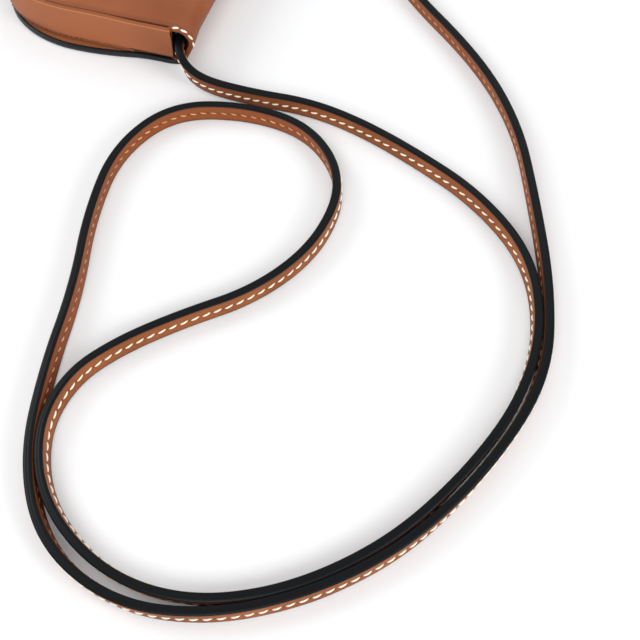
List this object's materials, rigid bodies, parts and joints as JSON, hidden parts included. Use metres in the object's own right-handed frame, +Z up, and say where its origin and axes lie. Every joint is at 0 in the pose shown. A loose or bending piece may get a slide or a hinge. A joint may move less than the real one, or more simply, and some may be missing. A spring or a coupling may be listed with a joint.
{
  "type": "crossbody wallet",
  "caption": "Slim leather flap wallet lying on its flap, with a long flat stitched strap coming out of both ends of its top fold.",
  "frame": {"origin": "middle of the wallet's footprint, strap left out, on the surface that its flap lies on", "axes": "+X along the top fold to the end where the picture shows the strap, +Y from the pouch's round bottom to the top fold, +Z up from the flap to the back panel"},
  "size_m": [0.3137, 0.2214, 0.0175],
  "materials": {
    "tan_leather": "smooth satin",
    "strap_leather": "smooth satin, black painted edges",
    "lining_leather": "matt suede",
    "steel": "satin",
    "magnet_steel": "nickel plated"
  },
  "bodies": {
    "pouch": {"back_panel": "tan_leather", "top_fold": "tan_leather", "front_panel": "tan_leather", "gusset": "tan_leather", "strap": "strap_leather", "strap_tab_near": "strap_leather", "strap_tab_far": "strap_leather", "back_lining": "lining_leather", "fold_lining": "lining_leather", "front_lining": "lining_leather", "gusset_lining": "lining_leather", "divider": "lining_leather", "card_slip_upper": "lining_leather", "card_slip_lower": "lining_leather", "keeper_plate": "steel", "screw_posts": "steel", "screw_caps": "steel"},
    "flap": {"flap_panel": "tan_leather", "flap_lining": "lining_leather", "flap_magnet": "magnet_steel"}
  },
  "joints": [
    {"name": "flap_fold", "type": "hinge", "parent": "pouch", "child": "flap", "pos_m": [0, 0.03115, 0], "axis": [1, 0, 0], "range_deg": [0, 175]}
  ]
}
